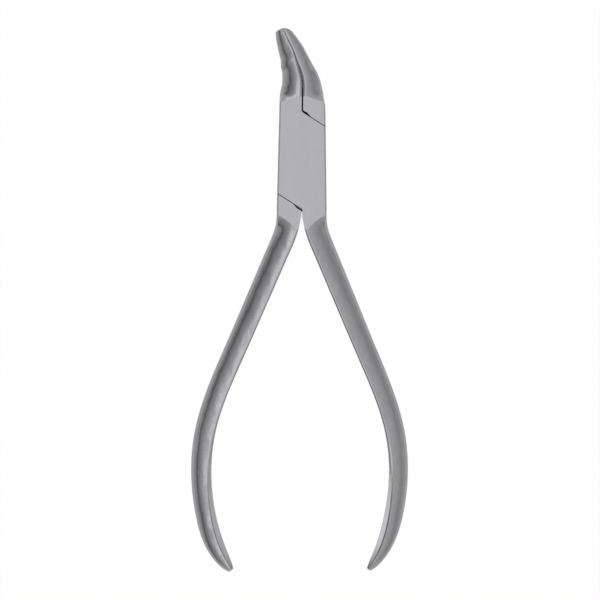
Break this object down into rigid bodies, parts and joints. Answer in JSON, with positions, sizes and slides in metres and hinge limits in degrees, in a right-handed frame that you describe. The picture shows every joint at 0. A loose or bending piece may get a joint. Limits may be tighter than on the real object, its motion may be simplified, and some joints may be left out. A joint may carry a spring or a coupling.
{
  "type": "orthodontic pliers",
  "caption": "Small steel orthodontic pliers with bent serrated jaws, a flush box joint and bowed handles, lying flat.",
  "frame": {"origin": "on the pivot axis, in the ground back face of the box that the pliers rest on", "axes": "+Y from the pivot towards the jaw tips, +Z out of the back face through the thickness, +X to the right seen from the front"},
  "size_m": [0.0558, 0.14, 0.0082],
  "materials": {
    "steel": "fine satin, with the box ground flat",
    "pin_steel": "satin, peened and ground flush"
  },
  "bodies": {
    "fixed_half": {"box_half": "steel", "joint_pin": "pin_steel"},
    "moving_half": {"tongue_half": "steel"}
  },
  "joints": [
    {"name": "box_joint", "type": "hinge", "parent": "fixed_half", "child": "moving_half", "pos_m": [0, 0, 0.0041], "axis": [0, 0, -1], "range_deg": [0, 30]}
  ]
}
